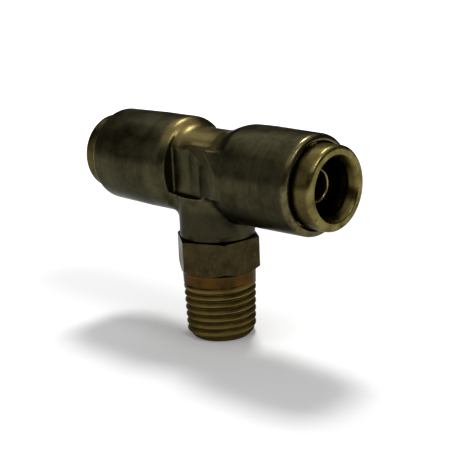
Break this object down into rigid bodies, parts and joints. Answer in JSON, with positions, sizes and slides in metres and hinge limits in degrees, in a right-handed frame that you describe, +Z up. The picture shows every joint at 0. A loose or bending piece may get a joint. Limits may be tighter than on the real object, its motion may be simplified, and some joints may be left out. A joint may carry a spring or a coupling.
{
  "type": "swivel tee fitting",
  "caption": "Push-in brass tee for 9.5 mm air tube with a taper pipe thread on a swivel branch stem; release collets slide in to free the tube.",
  "frame": {"origin": "centre of the pipe thread's end face, at the bottom of the part", "axes": "+Z up the branch axis from the thread to the run, +X along the run out of the right-hand port, +Y to the back"},
  "size_m": [0.0576, 0.0182, 0.0411],
  "materials": {
    "body_brass": "forged, turned and darkened with age",
    "stem_brass": "turned, slightly dull",
    "button_brass": "turned, satin",
    "housing_brass": "turned",
    "support_brass": "drawn and turned",
    "acetal": "turned acetal",
    "ptfe": "moulded",
    "nitrile": "moulded",
    "spring_steel": "drawn wire"
  },
  "bodies": {
    "stem": {"swivel_stem": "stem_brass", "stem_seal": "nitrile", "stem_backup_ring": "ptfe", "thrust_washer": "acetal", "snap_ring": "spring_steel"},
    "tee": {"tee_body": "body_brass", "collet_housing_right": "housing_brass", "collet_housing_left": "housing_brass", "tube_support_right": "support_brass", "tube_support_left": "support_brass", "spacer_ring_right": "acetal", "spacer_ring_left": "acetal", "tube_seal_right": "nitrile", "tube_seal_left": "nitrile"},
    "collet_right": {"release_collet_right": "button_brass"},
    "collet_left": {"release_collet_left": "button_brass"}
  },
  "joints": [
    {"name": "swivel", "type": "hinge", "parent": "stem", "child": "tee", "pos_m": [0, 0, 0.03197], "axis": [0, 0, 1], "continuous": true},
    {"name": "release_right", "type": "slide", "parent": "tee", "child": "collet_right", "axis": [-1, 0, 0], "range_m": [0, 0.0018]},
    {"name": "release_left", "type": "slide", "parent": "tee", "child": "collet_left", "axis": [1, 0, 0], "range_m": [0, 0.0018]}
  ]
}
